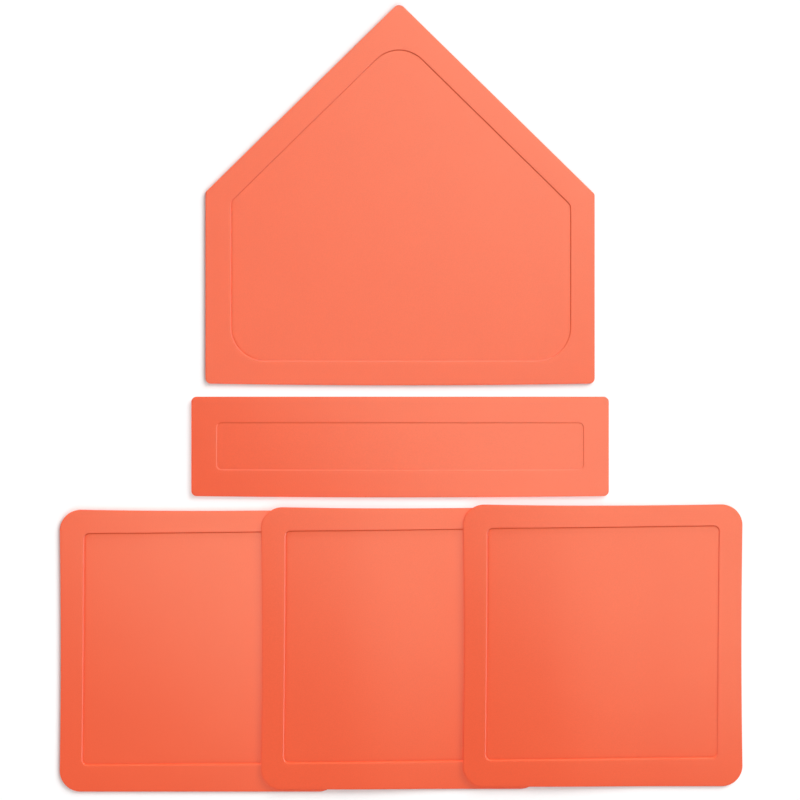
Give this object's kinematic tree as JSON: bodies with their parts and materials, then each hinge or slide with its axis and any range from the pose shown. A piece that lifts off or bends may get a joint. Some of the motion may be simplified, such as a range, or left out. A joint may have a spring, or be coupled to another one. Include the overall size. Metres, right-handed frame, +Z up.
{
  "type": "throw-down baseball base set",
  "caption": "Loose rubber throw-down mats for a ball field: a home plate, a pitcher's plate and overlapping square bases, each with a bordered sunken panel and a waffle grip sole.",
  "frame": {"origin": "on the ground, in the middle of the box round the whole set", "axes": "+Z up from the ground, +Y towards the home plate's point, +X along the row of bases to the right"},
  "size_m": [0.7578, 0.873, 0.0093],
  "materials": {
    "orange_rubber": "matte"
  },
  "bodies": {
    "base_left": {"base_left": "orange_rubber"},
    "base_middle": {"base_middle": "orange_rubber"},
    "base_right": {"base_right": "orange_rubber"},
    "pitchers_plate": {"pitchers_plate": "orange_rubber"},
    "home_plate": {"home_plate": "orange_rubber"}
  },
  "joints": [
    {"name": "base_middle_lift", "type": "slide", "parent": "base_left", "child": "base_middle", "axis": [0, 0, 1], "range_m": [0, 0.15]},
    {"name": "base_right_lift", "type": "slide", "parent": "base_middle", "child": "base_right", "axis": [0, 0, 1], "range_m": [0, 0.15]},
    {"name": "pitchers_plate_lift", "type": "slide", "parent": "base_left", "child": "pitchers_plate", "axis": [0, 0, 1], "range_m": [0, 0.15]},
    {"name": "home_plate_lift", "type": "slide", "parent": "base_left", "child": "home_plate", "axis": [0, 0, 1], "range_m": [0, 0.15]}
  ]
}
